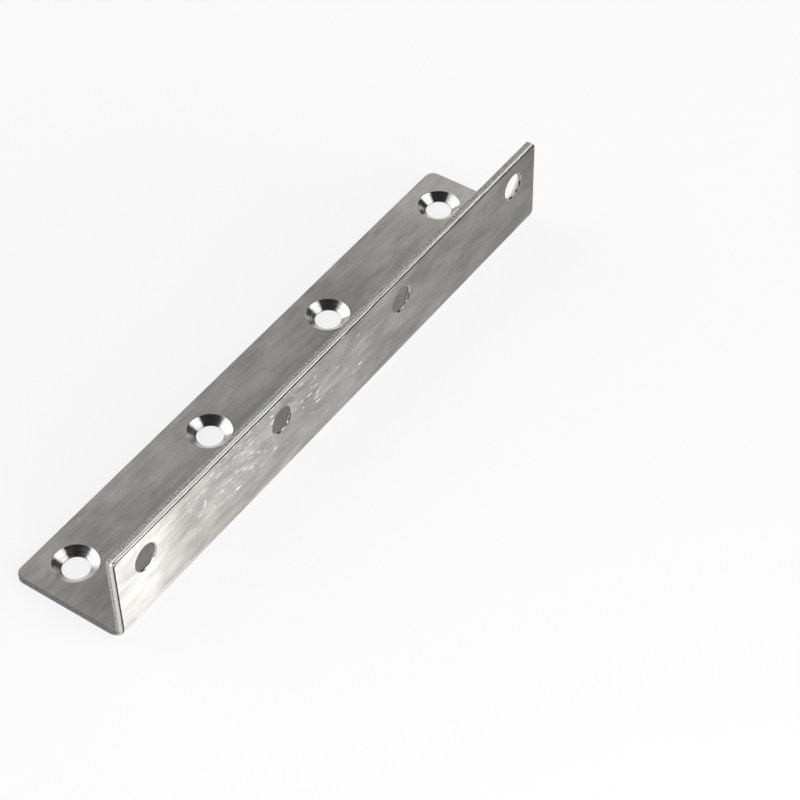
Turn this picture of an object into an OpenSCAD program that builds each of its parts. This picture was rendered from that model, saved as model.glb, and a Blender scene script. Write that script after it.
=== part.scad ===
// Corner bracket folded from one strip of brushed stainless steel.
// A wide flat leg and a shorter upright leg meet in a round bend. Each leg has
// a row of four screw holes, countersunk on the inside of the corner.
//
// Frame: X along the length, the upright leg on the -Y side, Z up. The origin is
// at the middle of the bracket's box, on the plane that the flat leg lies on.

/* [Strip] */
// Length of the bracket along the bend
length = 155; // [110:1:400]
// Width of the flat leg, from its free edge to the back of the upright leg
flat_leg = 30; // [26:0.5:60]
// Height of the upright leg, from its top edge to the underside of the flat leg
upright_leg = 25; // [21:0.5:60]
// Thickness of the steel sheet
sheet_t = 2; // [1.2:0.1:3.5]
// Radius of the bend on the inside of the corner
bend_inner_r = 2.7; // [1:0.1:5]

/* [Corners and edges] */
// Radius of the flat leg's two free corners, seen from above
flat_corner_r = 2.2; // [1.3:0.1:6]
// Radius of the upright leg's two free corners, seen from behind
upright_corner_r = 1.2; // [1.1:0.1:5]
// Radius of the edge that the blanking die rolled over, on the outside of the corner
edge_roll_r = 0.5; // [0.2:0.05:0.55]
// Radius left by deburring the edge on the inside of the corner
edge_break_r = 0.2; // [0.05:0.05:0.5]

/* [Screw holes] */
// Diameter of each screw hole
hole_d = 6.2; // [4:0.1:8]
// Diameter of each countersink where it meets the inside face
countersink_d = 10.4; // [8.5:0.1:12]
// Depth of plain wall left below each countersink
hole_land = 0.45; // [0.2:0.05:1]

/* [Hole places] */
// Distance from each end of the bracket to the nearest hole of a row
end_inset = 9.5; // [7:0.5:25]
// Distance between the two middle holes of a row
middle_spacing = 44.5; // [20:0.5:90]
// Distance from the flat leg's free edge to its row of holes
flat_hole_inset = 8.9; // [6.5:0.1:15]
// Distance from the upright leg's top edge to its row of holes
upright_hole_inset = 6.8; // [6:0.1:12]

/* [Colour] */
// Colour of the bare brushed steel
steel_colour = [0.63, 0.62, 0.6];

/* [Hidden] */
// Number of straight pieces that a full circle is drawn with
$fn = 96;
// Angle between the two legs
bend_angle = 90;
// Radius of the bend on the outside of the corner
bend_outer_r = bend_inner_r + sheet_t;
// Back face of the upright leg, with the flat leg's width centred on the origin
heel_y = -flat_leg / 2;
// Places of the holes along a row, even about the middle
row_x = [
    -length / 2 + end_inset,
    -middle_spacing / 2,
    middle_spacing / 2,
    length / 2 - end_inset
];
// Distance that a hole's cutter stands past both faces of the sheet
cut_past = 1;

// Section across one edge of the sheet. It reaches from 0 to width along its first
// axis, where the edge is. Its second axis runs from the outside face at 0 to the
// inside face at sheet_t.
module edge_section(width) {
    square([width - edge_roll_r, sheet_t - edge_break_r]);
    translate([0, edge_roll_r])
        square([width, sheet_t - edge_roll_r - edge_break_r]);
    translate([0, edge_roll_r])
        square([width - edge_break_r, sheet_t - edge_roll_r]);
    translate([width - edge_roll_r, edge_roll_r])
        circle(r = edge_roll_r);
    translate([width - edge_break_r, sheet_t - edge_break_r])
        circle(r = edge_break_r);
}

// Section along the whole length of the sheet, with an edge at both ends
module length_section() {
    edge_section(length / 2);
    mirror([1, 0])
        edge_section(length / 2);
}

// Round corner of a leg, centred on its own radius, with the edge carried around it
module leg_corner(corner_r) {
    rotate_extrude(angle = bend_angle)
        edge_section(corner_r);
}

// Flat leg lying on its outside face. It starts at y = 0, where the bend ends, and
// its free edge with two round corners is at y = reach.
module leg(reach, corner_r) {
    // straight stretch between the bend and the corners
    translate([0, reach - corner_r, 0])
        rotate([90, 0, 0])
            linear_extrude(height = reach - corner_r)
                length_section();
    // free edge between the two corners
    translate([-length / 2 + corner_r, reach - corner_r, 0])
        rotate([90, 0, 90])
            linear_extrude(height = length - 2 * corner_r)
                edge_section(corner_r);
    // the two corners
    translate([length / 2 - corner_r, reach - corner_r, 0])
        leg_corner(corner_r);
    translate([-length / 2 + corner_r, reach - corner_r, 0])
        mirror([1, 0, 0])
            leg_corner(corner_r);
}

// Round bend between the legs. Its axis is the X axis. The flat leg leaves it below
// the axis, towards +Y, and the upright leg leaves it behind the axis, towards +Z.
module bend() {
    rotate([0, 90, 180])
        rotate_extrude(angle = bend_angle)
            translate([bend_outer_r, 0])
                rotate([0, 0, 90])
                    length_section();
}

// Cutter for one countersunk hole. The outside face is at z = 0 and the countersink
// opens through the inside face at z = sheet_t.
module hole_cutter() {
    rotate_extrude()
        polygon([
            [0, -cut_past],
            [hole_d / 2, -cut_past],
            [hole_d / 2, hole_land],
            [countersink_d / 2, sheet_t],
            [countersink_d / 2, sheet_t + cut_past],
            [0, sheet_t + cut_past]
        ]);
}

// Leg with its row of holes, inset from the free edge
module drilled_leg(reach, corner_r, hole_inset) {
    difference() {
        leg(reach, corner_r);
        for (x = row_x)
            translate([x, reach - hole_inset, 0])
                hole_cutter();
    }
}

// The folded bracket, built around the axis of its bend
module bracket() {
    color(steel_colour)
        translate([0, heel_y + bend_outer_r, bend_outer_r]) {
            bend();
            translate([0, 0, -bend_outer_r])
                drilled_leg(flat_leg - bend_outer_r, flat_corner_r, flat_hole_inset);
            translate([0, -bend_outer_r, 0])
                mirror([0, 1, -1])
                    drilled_leg(upright_leg - bend_outer_r, upright_corner_r, upright_hole_inset);
        }
}

bracket();
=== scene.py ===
import math
import random

import bpy
import numpy as np
from mathutils import Matrix, Vector
from mathutils.geometry import delaunay_2d_cdt


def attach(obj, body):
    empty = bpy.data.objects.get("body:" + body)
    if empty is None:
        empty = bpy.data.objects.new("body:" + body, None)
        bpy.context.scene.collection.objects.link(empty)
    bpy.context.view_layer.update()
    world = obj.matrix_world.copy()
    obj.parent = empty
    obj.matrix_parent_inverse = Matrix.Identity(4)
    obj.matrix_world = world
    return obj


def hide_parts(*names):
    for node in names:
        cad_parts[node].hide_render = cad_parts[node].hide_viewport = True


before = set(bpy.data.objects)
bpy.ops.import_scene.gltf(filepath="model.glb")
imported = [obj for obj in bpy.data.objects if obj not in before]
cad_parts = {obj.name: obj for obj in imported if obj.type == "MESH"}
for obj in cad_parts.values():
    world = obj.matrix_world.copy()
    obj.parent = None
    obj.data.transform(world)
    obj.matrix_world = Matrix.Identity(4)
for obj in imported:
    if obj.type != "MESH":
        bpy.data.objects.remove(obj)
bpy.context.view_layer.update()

MM = 0.001

# Sizes of the folded sheet, in metres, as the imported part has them
LENGTH = 155 * MM
FLAT_LEG = 30 * MM
UPRIGHT_LEG = 25 * MM
SHEET_T = 2 * MM
BEND_OUTER_R = 4.7 * MM
FLAT_CORNER_R = 2.2 * MM
UPRIGHT_CORNER_R = 1.2 * MM
EDGE_ROLL_R = 0.5 * MM
EDGE_BREAK_R = 0.2 * MM
HOLE_R = 3.1 * MM
SINK_R = 5.2 * MM
HOLE_LAND = 0.45 * MM
ROW_X = [-68 * MM, -22.25 * MM, 22.25 * MM, 68 * MM]
FLAT_HOLE_INSET = 8.9 * MM
UPRIGHT_HOLE_INSET = 6.8 * MM

# Fineness of the mesh
STATION_STEP = 0.8 * MM
BEND_STEPS = 14
CORNER_STEPS = 10
HOLE_STEPS = 96
BREAK_STEPS = 4
KINK_STEPS = 1
ROLL_STEPS = 8
# Steps down the torn band, the short slope below it and the burnished band
BAND_STEPS = [3, 1, 2]
# Steps round a hole's three edges, and down its countersink and its plain wall
HOLE_ARC_STEPS = [3, 3, 4]
HOLE_WALL_STEPS = [5, 2]
GRID_STEP = 5 * MM
GRID_SIDE = int(LENGTH / 2 / GRID_STEP)

# The sheet is drawn unfolded, with x along its length and s across it. The upright
# leg has s below 0, the bend lies from 0 to BEND_SPAN, and the flat leg comes after.
HEEL_Y = -FLAT_LEG / 2
BEND_SPAN = (BEND_OUTER_R - SHEET_T / 2) * math.pi / 2
BEND_ROWS = [BEND_SPAN * k / BEND_STEPS for k in range(BEND_STEPS + 1)]
S_TOP = -(UPRIGHT_LEG - BEND_OUTER_R)
S_FREE = BEND_SPAN + FLAT_LEG - BEND_OUTER_R
HOLES = [(x, S_FREE - FLAT_HOLE_INSET) for x in ROW_X]
HOLES += [(x, S_TOP + UPRIGHT_HOLE_INSET) for x in ROW_X]

# Inner points of a face keep this far from the hole rims
HOLE_CLEARANCE = 1.2 * MM
# Places nearer than this are one place, in metres and in the filling's millimetres
SAME_PLACE = 1e-7
SAME_PLACE_MM = 1e-5
# The filling keeps only the triangles inside the rim
FILL_INSIDE = 1

# The shearing left a burnished band, and above its line a torn band set back from it
SHEAR_LINE = 0.9 * MM
SHEAR_LINE_WAVE = 0.12 * MM
SHEAR_SLOPE = 0.1 * MM
SHEAR_DEPTH = 0.03 * MM
SHEAR_DEPTH_WAVE = 0.35
SHEAR_KINK_R = 0.02 * MM
# Stations that one bump of the line and of the torn band takes
LINE_PERIOD = 5
TEAR_PERIOD = 2

# Radii of a hole's edges: at its face, at its plain wall and at its exit
SINK_RIM_R = 0.12 * MM
LAND_RIM_R = 0.06 * MM
EXIT_RIM_R = 0.38 * MM

# A section line starts and ends this far inside the faces
SECTION_REACH = 1 * MM
# The ring marks of each hole are read this far from those of the one before
TURN_SHIFT = 10
# The grain map of the inside face lies this far along from that of the outside face
INSIDE_SHIFT = 1.0

# Places of the four finishes in the mesh's list of materials
FACE, EDGE, TURNED, ROLL = 0, 1, 2, 3

# A spot turns into a nick as its random value passes this range. The value is raised by
# the gain in the worn area.
NICK_RANGE = (0.866, 0.882)
WORN_GAIN = 0.13
# Soft borders of the worn area: its start and end along x, and its end past the bend
WORN_START = (-66 * MM, -50 * MM)
WORN_END = (-22 * MM, 30 * MM)
WORN_BEND = (-9 * MM, 2 * MM)
# Height in the sheet where the torn band starts, and height over the floor where the
# painted shade of the low edge ends
TORN_START = (0.85 * MM, 1.05 * MM)
LOW_EDGE_SHADE_END = (1.9 * MM, 4 * MM)
# Share of the roll where the painted dark reflection line at its foot starts
ROLL_FOOT_START = (0.6, 0.72)
# Where the plain wall starts and ends, in mm along the line down the hole
LAND_START = (2.6, 2.64)
LAND_END = (2.72, 2.8)
# Turn of the shader's stretched highlights, in whole turns, so that they cross the marks
ACROSS_MARKS = 0.25

# Colours of the steel's finishes, from a dark to a light mark
BRUSHED_DARK, BRUSHED_LIGHT = (0.38, 0.365, 0.348, 1), (0.69, 0.663, 0.635, 1)
# Nicks are real wear; their white is a painted glint
NICK_GLINT = (1.0, 0.98, 0.96, 1)
TORN_DARK, TORN_LIGHT = (0.24, 0.235, 0.23, 1), (0.56, 0.55, 0.54, 1)
BURNISHED = (0.7, 0.69, 0.67, 1)
# Painted shade on the edge close over the floor, from a dark to a light mark
LOW_EDGE_SHADE_DARK, LOW_EDGE_SHADE_LIGHT = (0.1, 0.1, 0.1, 1), (0.24, 0.236, 0.232, 1)
ROLLED_DARK, ROLLED_LIGHT = (0.52, 0.515, 0.5, 1), (0.7, 0.69, 0.67, 1)
# Painted dark reflection along the roll's foot
ROLL_FOOT_DARK_REFLECTION = (0.06, 0.058, 0.055, 1)
TURNED_DARK, TURNED_LIGHT = (0.4, 0.395, 0.39, 1), (0.64, 0.63, 0.62, 1)
# Plain wall: darker for its rougher cut, and partly painted shade
PLAIN_WALL_TONE_AND_SHADE = (0.16, 0.155, 0.15, 1)

# Floor and backdrop, with the share of plain white that the eye and the steel see
FLOOR_COLOUR = (0.9, 0.9, 0.9, 1)
FLOOR_GLOW = 0.78
FLOOR_HALF = 4.0
BACKDROP_R = 3.9
BACKDROP_HEIGHT = 0.95
BACKDROP_SIDES = 96

# Black card beside the upright leg, giving a painted dark reflection: its ends, height,
# and the strip at its foot, which is painted shade on the floor
CARD_COLOUR = (0.02, 0.02, 0.02, 1)
CARD_NEAR_X, CARD_FAR_X = -55.5 * MM, 125 * MM
CARD_Y = -36 * MM
CARD_NEAR_TOP, CARD_FAR_TOP = 25.5 * MM, 30.5 * MM
CARD_FADE = 13 * MM
SHADE_STRIP_NEAR_Y, SHADE_STRIP_FAR_Y = -15.4 * MM, -24 * MM
SHADE_STRIP_Z = 0.2 * MM
SHADE_STRIP_DENSITY = 0.5

# Grey level of the room around the lamps
ROOM_LEVEL = 0.04
# Lamps: azimuth from +X towards +Y, elevation, width and height, all in degrees as the
# bracket sees them, then radiance and distance
LAMPS = {
    "left_box": (106, 25, 60, 42, 2.0, 1.6),
    "high_box": (84, 60, 60, 20, 1.3, 1.6),
    "front_box": (63, 41, 34, 18, 0.12, 1.6),
    "far_box": (9, 40, 24, 22, 2.4, 1.6),
    "right_box": (298, 38, 40, 38, 2.5, 1.6),
    "low_box": (275, 8, 44, 14, 14.5, 1.6),
    "window": (168, 20, 42, 30, 1.7, 1.6),
    "near_lamp": (234, 24, 18, 18, 8.5, 0.38),
}

# The photograph's camera, found from the bracket's edges and holes. Angles in degrees,
# the azimuth from -Y towards +X.
CAMERA_AZIMUTH, CAMERA_ELEVATION, CAMERA_ROLL = -54.2278, 46.4583, -1.2628
CAMERA_AIM = (8.992 * MM, -23.556 * MM, 2.180 * MM)
CAMERA_DISTANCE = 521.18 * MM
CAMERA_LENS = 104.825
CAMERA_SENSOR = 36
CAMERA_CLIP_START = 0.01


def fold(s, w):
    """Place (y, z) of a point of the unfolded sheet, w above its outside face, and
    the directions of s and w there."""
    if s <= 0:
        return (HEEL_Y + w, BEND_OUTER_R - s), (0, -1), (1, 0)
    if s >= BEND_SPAN:
        return (HEEL_Y + BEND_OUTER_R + s - BEND_SPAN, w), (1, 0), (0, 1)
    angle = s / BEND_SPAN * math.pi / 2
    radius = BEND_OUTER_R - w
    sin_a, cos_a = math.sin(angle), math.cos(angle)
    place = (HEEL_Y + BEND_OUTER_R - radius * cos_a, BEND_OUTER_R - radius * sin_a)
    return place, (sin_a, -cos_a), (cos_a, sin_a)


class Sheet:
    """Collects the vertices and faces of the folded sheet. For each vertex it keeps the
    folded place, the normal, the unfolded place (x, s) and the turn attribute, which
    Shader.turn explains."""

    def __init__(self):
        self.points = []
        self.normals = []
        self.flat = []
        self.turn = []
        self.faces = []
        self.uvs = []
        self.finishes = []

    def vertex(self, x, s, w, normal, turn=(0, 0, 0)):
        """Adds a vertex and gives its number. The normal is along x, s and w."""
        (y, z), (sy, sz), (wy, wz) = fold(s, w)
        nx, ns, nw = normal
        self.points.append((x, y, z))
        self.normals.append((nx, ns * sy + nw * wy, ns * sz + nw * wz))
        self.flat.append((x, s))
        self.turn.append(turn)
        return len(self.points) - 1

    def face(self, ids, uvs, finish):
        """Adds a face with its places on the grain map."""
        self.faces.append(ids)
        self.uvs.extend(uvs)
        self.finishes.append(finish)

    def outward_faces(self):
        """The faces and their grain map, each turned so that it looks out of the metal."""
        points = np.array(self.points)
        normals = np.array(self.normals)
        faces = []
        uvs = []
        place = 0
        for ids in self.faces:
            own = self.uvs[place:place + len(ids)]
            place += len(ids)
            a, b, c = points[ids[0]], points[ids[1]], points[ids[2]]
            if np.dot(np.cross(b - a, c - a), normals[list(ids)].sum(0)) < 0:
                ids = ids[::-1]
                own = own[::-1]
            faces.append(ids)
            uvs += own
        return faces, uvs


def rounded_section(corners, radii, arc_steps, straight_steps):
    """Section line through the corners, with each inner corner rounded. The metal is
    on its right. Gives (q, w, normal q, normal w, length so far) for each point."""
    places = [Vector(c) for c in corners]
    ways = [(b - a).normalized() for a, b in zip(places, places[1:])]
    turns = [math.atan2(a.x * b.y - a.y * b.x, a.dot(b)) for a, b in zip(ways, ways[1:])]
    reaches = [r * math.tan(abs(turn) / 2) for r, turn in zip(radii, turns)]
    made = []
    for i, turn in enumerate(turns):
        way = ways[i]
        side = 1 if turn < 0 else -1
        first = Vector((-way.y, way.x))
        centre = places[i + 1] - way * reaches[i] - first * radii[i] * side
        for k in range(arc_steps[i] + 1):
            a = turn * k / arc_steps[i]
            n = Vector((first.x * math.cos(a) - first.y * math.sin(a),
                        first.x * math.sin(a) + first.y * math.cos(a)))
            made.append((centre + n * radii[i] * side, n))
        if i + 1 < len(turns):
            way = ways[i + 1]
            start = made[-1][0]
            end = places[i + 2] - way * reaches[i + 1]
            for k in range(1, straight_steps[i]):
                made.append((start.lerp(end, k / straight_steps[i]), Vector((-way.y, way.x))))
    rows = []
    run = 0.0
    for k, (p, n) in enumerate(made):
        if k:
            run += (p - made[k - 1][0]).length
        rows.append((p.x, p.y, n.x, n.y, run))
    return rows


def outline_stations():
    """Places around the unfolded sheet: (x, s, outward x, outward s, length so far)."""
    stations = []

    def side(start, end, out, marks=()):
        """Straight stretch, without its last point, through the marks if any."""
        a, b = Vector(start), Vector(end)
        stops = [0.0, *sorted(marks), 1.0]
        for t0, t1 in zip(stops, stops[1:]):
            n = max(1, round((t1 - t0) * (b - a).length / STATION_STEP))
            for k in range(n):
                p = a.lerp(b, t0 + (t1 - t0) * k / n)
                stations.append([p.x, p.y, *out])

    def corner(cx, cs, radius, first):
        """Quarter round from the angle first, without its last point."""
        for k in range(CORNER_STEPS):
            a = math.radians(first + 90 * k / CORNER_STEPS)
            c, sn = math.cos(a), math.sin(a)
            stations.append([cx + radius * c, cs + radius * sn, c, sn])

    half = LENGTH / 2
    low = S_TOP + UPRIGHT_CORNER_R
    high = S_FREE - FLAT_CORNER_R
    bend_marks = [(s - low) / (high - low) for s in BEND_ROWS]
    side((half, low), (half, high), (1, 0), bend_marks)
    corner(half - FLAT_CORNER_R, high, FLAT_CORNER_R, 0)
    side((half - FLAT_CORNER_R, S_FREE), (-half + FLAT_CORNER_R, S_FREE), (0, 1))
    corner(-half + FLAT_CORNER_R, high, FLAT_CORNER_R, 90)
    side((-half, high), (-half, low), (-1, 0), [1 - t for t in bend_marks])
    corner(-half + UPRIGHT_CORNER_R, low, UPRIGHT_CORNER_R, 180)
    side((-half + UPRIGHT_CORNER_R, S_TOP), (half - UPRIGHT_CORNER_R, S_TOP), (0, -1))
    corner(half - UPRIGHT_CORNER_R, low, UPRIGHT_CORNER_R, 270)
    run = 0.0
    for k, station in enumerate(stations):
        if k:
            before = stations[k - 1]
            run += math.hypot(station[0] - before[0], station[1] - before[1])
        station.append(run)
    return stations


def smooth_noise(count, period, seed):
    """Closed row of smooth random values from -1 to 1, one bump per period steps."""
    rng = random.Random(seed)
    knots = [rng.uniform(-1, 1) for _ in range(max(4, count // period))]
    values = []
    for k in range(count):
        t = k / count * len(knots)
        i = int(t)
        f = t - i
        f = f * f * (3 - 2 * f)
        values.append(knots[i % len(knots)] * (1 - f) + knots[(i + 1) % len(knots)] * f)
    return values


def edge_section(line, tear):
    """Section of the cut edge, from the inside face to the outside face. The random
    values move its line up and down and set the torn band back."""
    line_w = SHEAR_LINE + SHEAR_LINE_WAVE * line
    depth = SHEAR_DEPTH * (1 + SHEAR_DEPTH_WAVE * tear)
    return rounded_section(
        corners=[(-SECTION_REACH, SHEET_T), (-depth, SHEET_T), (-depth, line_w + SHEAR_SLOPE),
                 (0, line_w), (0, 0), (-SECTION_REACH, 0)],
        radii=[EDGE_BREAK_R, SHEAR_KINK_R, SHEAR_KINK_R, EDGE_ROLL_R],
        arc_steps=[BREAK_STEPS, KINK_STEPS, KINK_STEPS, ROLL_STEPS],
        straight_steps=BAND_STEPS,
    )


def build_edges(sheet):
    """Cut edge all round the sheet. The rolled part takes the grain of the outside
    face on round the edge. Gives the vertex rows along the two faces."""
    stations = outline_stations()
    count = len(stations)
    lines = smooth_noise(count, LINE_PERIOD, seed=1)
    tears = smooth_noise(count, TEAR_PERIOD, seed=2)
    sections = [edge_section(line, tear) for line, tear in zip(lines, tears)]
    last = len(sections[0]) - 1
    roll_start = last - ROLL_STEPS
    rows = []
    for (px, ps, dx, ds, _), section in zip(stations, sections):
        rows.append([
            sheet.vertex(px + q * dx, ps + q * ds, w, (nq * dx, nq * ds, nw),
                         (0, 0, max(0, i - roll_start) / ROLL_STEPS))
            for i, (q, w, nq, nw, _) in enumerate(section)
        ])
    # the last strip of faces ends at the first station, a whole way round
    total = stations[-1][4] + STATION_STEP
    for j in range(count):
        k = (j + 1) % count
        for i in range(last):
            corners = ((j, i), (j, i + 1), (k, i + 1), (k, i))
            uvs = []
            for jj, ii in corners:
                px, ps, dx, ds, along = stations[jj]
                if i >= roll_start:
                    reach = sections[jj][last][4] - sections[jj][ii][4] - EDGE_ROLL_R
                    uvs.append((px + reach * dx, ps + reach * ds))
                else:
                    closing = jj == k and k == 0
                    uvs.append((sections[jj][ii][1], total if closing else along))
            ids = tuple(rows[jj][ii] for jj, ii in corners)
            sheet.face(ids, uvs, ROLL if i >= roll_start else EDGE)
    return [r[0] for r in rows], [r[last] for r in rows]


def build_holes(sheet):
    """Countersunk holes. Gives, for each one, its vertex loops on the two faces."""
    section = rounded_section(
        corners=[(-SINK_R - SECTION_REACH, SHEET_T), (-SINK_R, SHEET_T), (-HOLE_R, HOLE_LAND),
                 (-HOLE_R, 0), (-HOLE_R - SECTION_REACH, 0)],
        radii=[SINK_RIM_R, LAND_RIM_R, EXIT_RIM_R],
        arc_steps=HOLE_ARC_STEPS,
        straight_steps=HOLE_WALL_STEPS,
    )
    last = len(section) - 1
    loops = []
    for number, (cx, cs) in enumerate(HOLES):
        rows = []
        for j in range(HOLE_STEPS):
            a = 2 * math.pi * j / HOLE_STEPS
            c, sn = math.cos(a), math.sin(a)
            rows.append([
                sheet.vertex(cx - q * c, cs - q * sn, w, (-nq * c, -nq * sn, nw),
                             (c + TURN_SHIFT * number, sn, run / MM))
                for q, w, nq, nw, run in section
            ])
        for j in range(HOLE_STEPS):
            k = (j + 1) % HOLE_STEPS
            round0 = 2 * math.pi * j / HOLE_STEPS * SINK_R
            round1 = 2 * math.pi * (j + 1) / HOLE_STEPS * SINK_R
            for i in range(last):
                ids = (rows[j][i], rows[j][i + 1], rows[k][i + 1], rows[k][i])
                run0, run1 = section[i][4], section[i + 1][4]
                uvs = [(round0, run0), (round0, run1), (round1, run1), (round1, run0)]
                sheet.face(ids, uvs, TURNED)
        loops.append(([r[0] for r in rows], [r[last] for r in rows]))
    return loops


def fill_side(sheet, rim, loops, w, up):
    """Inside or outside face of the sheet, between its rim and the hole loops. It is
    filled with triangles, whose edges lie along every row of the bend."""
    ids = list(rim)
    edges = [(k, (k + 1) % len(rim)) for k in range(len(rim))]
    members = []
    for loop in loops:
        base = len(ids)
        ids += loop
        members.append(set(range(base, base + len(loop))))
        edges += [(base + k, base + (k + 1) % len(loop)) for k in range(len(loop))]
    places = {i: n for n, i in enumerate(ids)}
    columns = [i * GRID_STEP for i in range(-GRID_SIDE, GRID_SIDE + 1)]
    for s in BEND_ROWS:
        ends = [i for i in rim if abs(sheet.flat[i][1] - s) < SAME_PLACE]
        ends.sort(key=lambda i: sheet.flat[i][0])
        row = [places[ends[0]]]
        for x in columns:
            ids.append(sheet.vertex(x, s, w, (0, 0, up)))
            row.append(len(ids) - 1)
        row.append(places[ends[-1]])
        edges += list(zip(row, row[1:]))
    # the hole rims have the same radius all along this face
    hole_reach = math.dist(sheet.flat[loops[0][0]], HOLES[0]) + HOLE_CLEARANCE
    for s0, s1 in ((S_TOP, 0), (BEND_SPAN, S_FREE)):
        n = round((s1 - s0) / GRID_STEP)
        for k in range(1, n):
            s = s0 + (s1 - s0) * k / n
            for x in columns:
                if min(math.dist((x, s), hole) for hole in HOLES) > hole_reach:
                    ids.append(sheet.vertex(x, s, w, (0, 0, up)))
    shift = INSIDE_SHIFT if up > 0 else 0
    flat = [Vector(sheet.flat[i]) / MM for i in ids]
    filled = delaunay_2d_cdt(flat, edges, [], FILL_INSIDE, SAME_PLACE_MM)
    triangles, sources = filled[2], filled[3]
    for triangle in triangles:
        inputs = [sources[v][0] for v in triangle]
        # a triangle inside a hole has all its corners on that hole's loop
        if any(all(i in loop for i in inputs) for loop in members):
            continue
        own = [ids[i] for i in inputs]
        sheet.face(own, [(sheet.flat[i][0] + shift, sheet.flat[i][1]) for i in own], FACE)


def build_bracket():
    """The folded sheet as one closed mesh."""
    sheet = Sheet()
    inside_rim, outside_rim = build_edges(sheet)
    loops = build_holes(sheet)
    fill_side(sheet, inside_rim, [inside for inside, _ in loops], SHEET_T, 1)
    fill_side(sheet, outside_rim, [outside for _, outside in loops], 0.0, -1)
    faces, uvs = sheet.outward_faces()
    mesh = bpy.data.meshes.new("corner_bracket")
    mesh.from_pydata(sheet.points, [], faces)
    mesh.polygons.foreach_set("material_index", sheet.finishes)
    mesh.polygons.foreach_set("use_smooth", [True] * len(faces))
    layer = mesh.uv_layers.new(name="grain")
    layer.data.foreach_set("uv", np.array(uvs, np.float32).ravel())
    turn = mesh.attributes.new("turn", "FLOAT_VECTOR", "POINT")
    turn.data.foreach_set("vector", np.array(sheet.turn, np.float32).ravel())
    mesh.update()
    mesh.normals_split_custom_set_from_vertices(sheet.normals)
    piece = bpy.data.objects.new("corner_bracket", mesh)
    bpy.context.scene.collection.objects.link(piece)
    return piece


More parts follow.
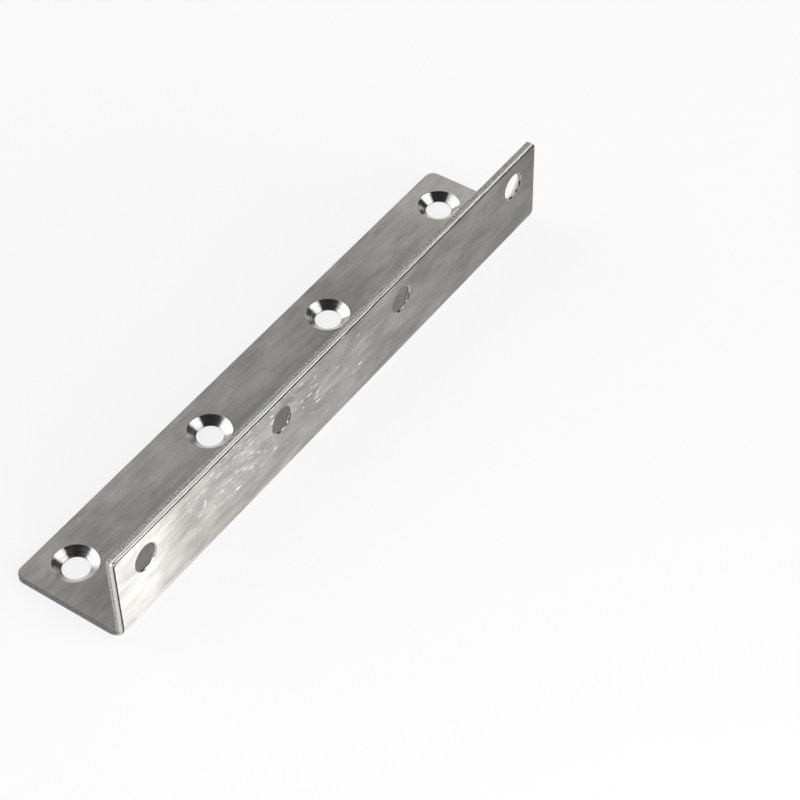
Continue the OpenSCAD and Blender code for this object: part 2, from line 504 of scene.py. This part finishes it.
class Shader:
    """Short way to write a node material."""

    def __init__(self, name):
        self.material = bpy.data.materials.new(name)
        self.material.use_nodes = True
        self.tree = self.material.node_tree
        self.tree.nodes.clear()
        self.out = self.node("ShaderNodeOutputMaterial")

    def node(self, kind, **settings):
        """Adds a node."""
        made = self.tree.nodes.new(kind)
        for key, value in settings.items():
            setattr(made, key, value)
        return made

    def feed(self, socket, value):
        """Links a node's output to the socket, or sets the socket to a plain value."""
        if isinstance(value, bpy.types.NodeSocket):
            self.tree.links.new(value, socket)
        else:
            socket.default_value = value

    def math(self, operation, a, b):
        """Result of one operation on two values."""
        made = self.node("ShaderNodeMath", operation=operation)
        self.feed(made.inputs[0], a)
        self.feed(made.inputs[1], b)
        return made.outputs[0]

    def sum(self, start, *terms):
        """A start value plus value times weight pairs."""
        total = start
        for value, weight in terms:
            total = self.math("ADD", total, self.math("MULTIPLY", value, weight))
        return total

    def split(self, vector):
        """The three parts of a vector."""
        made = self.node("ShaderNodeSeparateXYZ")
        self.feed(made.inputs[0], vector)
        return tuple(made.outputs)

    def grain_uv(self):
        """Grain map: its first axis runs along the marks."""
        return self.node("ShaderNodeUVMap", uv_map="grain").outputs[0]

    def turn(self):
        """The mesh's own attribute. At a hole: the way round it and the length down
        it, in mm. At an edge, its third part grows from 0 to 1 along the roll."""
        return self.node("ShaderNodeAttribute", attribute_name="turn").outputs["Vector"]

    def object_place(self):
        """Place on the object, in metres, as three parts."""
        return self.split(self.node("ShaderNodeTexCoord").outputs["Object"])

    def scaled(self, vector, scale):
        """The vector with each part multiplied."""
        made = self.node("ShaderNodeMapping")
        self.feed(made.inputs["Vector"], vector)
        made.inputs["Scale"].default_value = scale
        return made.outputs[0]

    def noise(self, vector, detail, roughness):
        """Smooth random value."""
        made = self.node("ShaderNodeTexNoise", noise_dimensions="3D")
        self.feed(made.inputs["Vector"], vector)
        made.inputs["Scale"].default_value = 1.0
        made.inputs["Detail"].default_value = detail
        made.inputs["Roughness"].default_value = roughness
        return made.outputs["Fac"]

    def marks(self, along, across, detail=2.0, roughness=0.5, offset=(0, 0, 0)):
        """Random marks of the given real size along and across the grain. The offset
        moves them, so that no two layers are alike."""
        moved = self.node("ShaderNodeVectorMath", operation="ADD")
        self.feed(moved.inputs[0], self.grain_uv())
        moved.inputs[1].default_value = offset
        place = self.scaled(moved.outputs[0], (1 / along, 1 / across, 1))
        return self.noise(place, detail, roughness)

    def ramp(self, value, low, high, out_low=0.0, out_high=1.0):
        """Smooth step from out_low to out_high, as the value goes from low to high."""
        made = self.node("ShaderNodeMapRange", interpolation_type="SMOOTHSTEP")
        self.feed(made.inputs["Value"], value)
        made.inputs["From Min"].default_value = low
        made.inputs["From Max"].default_value = high
        made.inputs["To Min"].default_value = out_low
        made.inputs["To Max"].default_value = out_high
        return made.outputs[0]

    def mix(self, fac, a, b):
        """Colour between a and b."""
        made = self.node("ShaderNodeMix", data_type="RGBA")
        self.feed(made.inputs["Factor"], fac)
        self.feed(made.inputs["A"], a)
        self.feed(made.inputs["B"], b)
        return made.outputs["Result"]

    def surface(self, made):
        """Ends the material with the given shader node, and gives the material."""
        self.feed(self.out.inputs["Surface"], made.outputs[0])
        return self.material

    def mix_surfaces(self, fac, a, b):
        """Ends the material with a surface between the shaders a and b."""
        made = self.node("ShaderNodeMixShader")
        self.feed(made.inputs[0], fac)
        self.feed(made.inputs[1], a.outputs[0])
        self.feed(made.inputs[2], b.outputs[0])
        return self.surface(made)

    def bump(self, height, distance, strength):
        """Normal that the height tilts."""
        made = self.node("ShaderNodeBump")
        made.inputs["Distance"].default_value = distance
        made.inputs["Strength"].default_value = strength
        self.feed(made.inputs["Height"], height)
        return made.outputs[0]

    def steel(self, colour, roughness, normal, anisotropic, metallic=1.0):
        """Ends the material with bare steel whose fine marks run along the grain."""
        made = self.node("ShaderNodeBsdfPrincipled")
        made.inputs["Anisotropic"].default_value = anisotropic
        made.inputs["Anisotropic Rotation"].default_value = ACROSS_MARKS
        self.feed(made.inputs["Metallic"], metallic)
        self.feed(made.inputs["Base Color"], colour)
        self.feed(made.inputs["Roughness"], roughness)
        self.feed(made.inputs["Normal"], normal)
        tangent = self.node("ShaderNodeTangent", direction_type="UV_MAP", uv_map="grain")
        self.feed(made.inputs["Tangent"], tangent.outputs[0])
        return self.surface(made)


def brushed_steel():
    """Sheet faces: fine grain along the length, soft clouds and short nicks, painted white
    as glints. Most nicks lie on the upright leg's outside, from its near end to its middle."""
    sh = Shader("brushed_steel")
    fine = sh.marks(5 * MM, 0.14 * MM, detail=3.0, roughness=0.6)
    wide = sh.marks(16 * MM, 0.5 * MM, offset=(0.3, 0.1, 0))
    cloud = sh.marks(14 * MM, 8 * MM, offset=(0.2, 0.9, 0))
    smear = sh.marks(7 * MM, 2 * MM, detail=3.0, roughness=0.6, offset=(0.5, 0.2, 0))
    spots = sh.marks(2.6 * MM, 0.32 * MM, detail=0.0, offset=(0.7, 0.4, 0))
    along, across, _ = sh.split(sh.grain_uv())
    past_near_end = sh.ramp(along, *WORN_START)
    before_far_half = sh.ramp(along, *WORN_END, out_low=1, out_high=0)
    on_upright = sh.ramp(across, *WORN_BEND, out_low=1, out_high=0)
    worn = sh.math("MULTIPLY", sh.math("MULTIPLY", past_near_end, before_far_half), on_upright)
    nick = sh.ramp(sh.sum(spots, (worn, WORN_GAIN)), *NICK_RANGE)
    tone = sh.sum(0.0, (fine, 0.28), (wide, 0.15), (cloud, 0.32), (smear, 0.25))
    base = sh.mix(sh.ramp(tone, 0.34, 0.66), BRUSHED_DARK, BRUSHED_LIGHT)
    # the nicks are real wear, painted white as glints
    base = sh.mix(nick, base, NICK_GLINT)
    rough = sh.sum(0.2, (fine, 0.1), (cloud, 0.2), (smear, 0.12))
    height = sh.sum(0.0, (fine, 0.5), (wide, 0.3), (smear, 0.2))
    normal = sh.bump(height, distance=0.012 * MM, strength=0.6)
    metallic = sh.sum(1.0, (nick, -0.9))
    return sh.steel(base, rough, normal, anisotropic=0.97, metallic=metallic)


def sheared_steel():
    """Cut edge: a torn, mottled band and a burnished band below its line. Close over the
    floor the edge is painted darker as shade, so the flat leg's edge is the darker one."""
    sh = Shader("sheared_steel")
    streaks = sh.marks(1.2 * MM, 0.12 * MM, detail=3.0, roughness=0.6)
    mottle = sh.marks(0.5 * MM, 0.6 * MM)
    height_in_sheet, _, _ = sh.split(sh.grain_uv())
    torn = sh.ramp(height_in_sheet, *TORN_START)
    marks = sh.sum(0.0, (streaks, 0.4), (mottle, 0.6))
    tone = sh.ramp(marks, 0.36, 0.64)
    high_edge = sh.mix(torn, BURNISHED, sh.mix(tone, TORN_DARK, TORN_LIGHT))
    # painted shade: the edge is darker close over the floor
    shaded_low_edge = sh.mix(tone, LOW_EDGE_SHADE_DARK, LOW_EDGE_SHADE_LIGHT)
    _, _, z = sh.object_place()
    base = sh.mix(sh.ramp(z, *LOW_EDGE_SHADE_END), shaded_low_edge, high_edge)
    rough = sh.sum(0.22, (torn, 0.2), (streaks, 0.1))
    normal = sh.bump(marks, distance=0.04 * MM, strength=0.8)
    return sh.steel(base, rough, normal, anisotropic=0.5)


def rolled_steel():
    """Edge that the die rolled over: smoother than the faces, with faint drag marks
    and a painted dark reflection as a line at its foot."""
    sh = Shader("rolled_steel")
    drag = sh.marks(2.5 * MM, 0.1 * MM)
    wave = sh.marks(3 * MM, 1 * MM, offset=(0.4, 0.4, 0))
    tone = sh.ramp(sh.sum(0.0, (drag, 0.5), (wave, 0.5)), 0.3, 0.7)
    base = sh.mix(tone, ROLLED_DARK, ROLLED_LIGHT)
    _, _, roll = sh.split(sh.turn())
    # painted dark reflection: a dark line at the roll's foot
    foot = sh.ramp(sh.sum(roll, (wave, 0.3)), *ROLL_FOOT_START)
    base = sh.mix(foot, base, ROLL_FOOT_DARK_REFLECTION)
    rough = sh.sum(0.1, (wave, 0.12))
    height = sh.sum(0.0, (drag, 0.3), (wave, 0.7))
    normal = sh.bump(height, distance=0.02 * MM, strength=0.6)
    return sh.steel(base, rough, normal, anisotropic=0.3)


def turned_steel():
    """Countersinks and hole walls: fine rings left by the cutter, and a darker band
    on the plain wall, partly its rougher cut and partly painted shade."""
    sh = Shader("turned_steel")
    ring = sh.noise(sh.scaled(sh.turn(), (0.6, 0.6, 9.0)), detail=3.0, roughness=0.65)
    base = sh.mix(sh.ramp(ring, 0.3, 0.7), TURNED_DARK, TURNED_LIGHT)
    _, _, down = sh.split(sh.turn())
    below_sink = sh.ramp(down, *LAND_START)
    above_exit = sh.ramp(down, *LAND_END, out_low=1, out_high=0)
    land = sh.math("MULTIPLY", below_sink, above_exit)
    # the plain wall's band is partly its rougher cut and partly painted shade
    base = sh.mix(land, base, PLAIN_WALL_TONE_AND_SHADE)
    rough = sh.sum(0.1, (ring, 0.12), (land, 0.2))
    normal = sh.bump(ring, distance=0.02 * MM, strength=0.7)
    return sh.steel(base, rough, normal, anisotropic=0.75)


def pale_floor():
    """Near-white sheet that keeps the bracket's shadow."""
    sh = Shader("pale_floor")
    diffuse = sh.node("ShaderNodeBsdfDiffuse")
    diffuse.inputs["Color"].default_value = FLOOR_COLOUR
    glow = sh.node("ShaderNodeEmission")
    glow.inputs["Color"].default_value = (1, 1, 1, 1)
    path = sh.node("ShaderNodeLightPath")
    seen = sh.math("MAXIMUM", path.outputs["Is Camera Ray"], path.outputs["Is Glossy Ray"])
    seen = sh.math("MAXIMUM", seen, path.outputs["Is Transmission Ray"])
    return sh.mix_surfaces(sh.math("MULTIPLY", seen, FLOOR_GLOW), diffuse, glow)


def card_black():
    """Matt black that fades out at the card's near end and is thinner at its foot, where it lies
    on the floor as painted shade.
    """
    sh = Shader("card_black")
    diffuse = sh.node("ShaderNodeBsdfDiffuse")
    diffuse.inputs["Color"].default_value = CARD_COLOUR
    clear = sh.node("ShaderNodeBsdfTransparent")
    x, _, z = sh.object_place()
    dense = sh.ramp(x, CARD_NEAR_X, CARD_NEAR_X + CARD_FADE)
    # the thinner part at the foot is painted shade on the floor, seen only in reflections
    standing = sh.ramp(z, 1.5 * SHADE_STRIP_Z, 2 * SHADE_STRIP_Z, out_low=SHADE_STRIP_DENSITY)
    return sh.mix_surfaces(sh.math("MULTIPLY", dense, standing), clear, diffuse)


def add_stage(name, points, faces, material):
    """Piece of the room around the bracket."""
    mesh = bpy.data.meshes.new(name)
    mesh.from_pydata(points, [], faces)
    mesh.materials.append(material)
    piece = bpy.data.objects.new(name, mesh)
    bpy.context.scene.collection.objects.link(piece)
    return piece


def add_floor_and_backdrop():
    """Pale floor with a low round backdrop at its edge."""
    material = pale_floor()
    h = FLOOR_HALF
    add_stage("floor", [(-h, -h, 0), (h, -h, 0), (h, h, 0), (-h, h, 0)], [(0, 1, 2, 3)], material)
    points = []
    faces = []
    for k in range(BACKDROP_SIDES):
        a = 2 * math.pi * k / BACKDROP_SIDES
        x, y = BACKDROP_R * math.cos(a), BACKDROP_R * math.sin(a)
        points += [(x, y, 0), (x, y, BACKDROP_HEIGHT)]
        i, j = 2 * k, 2 * ((k + 1) % BACKDROP_SIDES)
        faces.append((i, j, j + 1, i + 1))
    add_stage("backdrop", points, faces, material)


def add_black_card():
    """Low black card beside the upright leg, with a thinner sheet on the floor at its foot.
    Only the steel's reflections show them: a painted dark reflection and painted shade.
    """
    upright = [(CARD_NEAR_X, CARD_Y, 0), (CARD_FAR_X, CARD_Y, 0),
               (CARD_FAR_X, CARD_Y, CARD_FAR_TOP), (CARD_NEAR_X, CARD_Y, CARD_NEAR_TOP)]
    # the strip on the floor is painted shade
    shade_strip = [(CARD_NEAR_X, SHADE_STRIP_FAR_Y, SHADE_STRIP_Z), (CARD_FAR_X, SHADE_STRIP_FAR_Y, SHADE_STRIP_Z),
             (CARD_FAR_X, SHADE_STRIP_NEAR_Y, SHADE_STRIP_Z), (CARD_NEAR_X, SHADE_STRIP_NEAR_Y, SHADE_STRIP_Z)]
    card = add_stage("black_card", upright + shade_strip, [(0, 1, 2, 3), (4, 5, 6, 7)], card_black())
    card.visible_camera = False
    card.visible_diffuse = False
    card.visible_shadow = False
    card.visible_transmission = False


def add_camera():
    """Camera at the photograph's place."""
    azimuth, elevation, roll = map(math.radians, (CAMERA_AZIMUTH, CAMERA_ELEVATION, CAMERA_ROLL))
    back = Vector((math.sin(azimuth) * math.cos(elevation),
                   -math.cos(azimuth) * math.cos(elevation),
                   math.sin(elevation)))
    right = Vector((math.cos(azimuth), math.sin(azimuth), 0))
    up = back.cross(right)
    turned_right = right * math.cos(roll) + up * math.sin(roll)
    turned_up = up * math.cos(roll) - right * math.sin(roll)
    camera = bpy.data.objects.new("camera", bpy.data.cameras.new("camera"))
    camera.data.lens = CAMERA_LENS
    camera.data.sensor_width = CAMERA_SENSOR
    camera.data.clip_start = CAMERA_CLIP_START
    place = Matrix((turned_right, turned_up, back)).transposed().to_4x4()
    place.translation = Vector(CAMERA_AIM) + back * CAMERA_DISTANCE
    camera.matrix_world = place
    bpy.context.scene.collection.objects.link(camera)
    bpy.context.scene.camera = camera


def add_softbox(name, azimuth, elevation, width, height, radiance, distance):
    """Rectangular soft lamp that faces the bracket."""
    a, e = math.radians(azimuth), math.radians(elevation)
    towards = Vector((math.cos(a) * math.cos(e), math.sin(a) * math.cos(e), math.sin(e)))
    lamp = bpy.data.lights.new(name, "AREA")
    lamp.shape = "RECTANGLE"
    lamp.size = 2 * distance * math.tan(math.radians(width) / 2)
    lamp.size_y = 2 * distance * math.tan(math.radians(height) / 2)
    lamp.energy = radiance * math.pi * lamp.size * lamp.size_y
    made = bpy.data.objects.new(name, lamp)
    made.location = towards * distance
    made.rotation_mode = "QUATERNION"
    made.rotation_quaternion = (-towards).to_track_quat("-Z", "Y")
    bpy.context.scene.collection.objects.link(made)


def add_world():
    """Dark grey room around the lamps."""
    world = bpy.data.worlds.new("studio")
    world.use_nodes = True
    tree = world.node_tree
    tree.nodes.clear()
    room = tree.nodes.new("ShaderNodeBackground")
    room.inputs["Color"].default_value = (ROOM_LEVEL, ROOM_LEVEL, ROOM_LEVEL, 1)
    out = tree.nodes.new("ShaderNodeOutputWorld")
    tree.links.new(room.outputs[0], out.inputs["Surface"])
    bpy.context.scene.world = world


add_camera()
bracket = build_bracket()
for finish in (brushed_steel(), sheared_steel(), turned_steel(), rolled_steel()):
    bracket.data.materials.append(finish)
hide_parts("bracket")
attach(bracket, "root")
add_floor_and_backdrop()
add_black_card()
add_world()
for name, lamp in LAMPS.items():
    add_softbox(name, *lamp)
bpy.context.scene.view_settings.view_transform = "Standard"
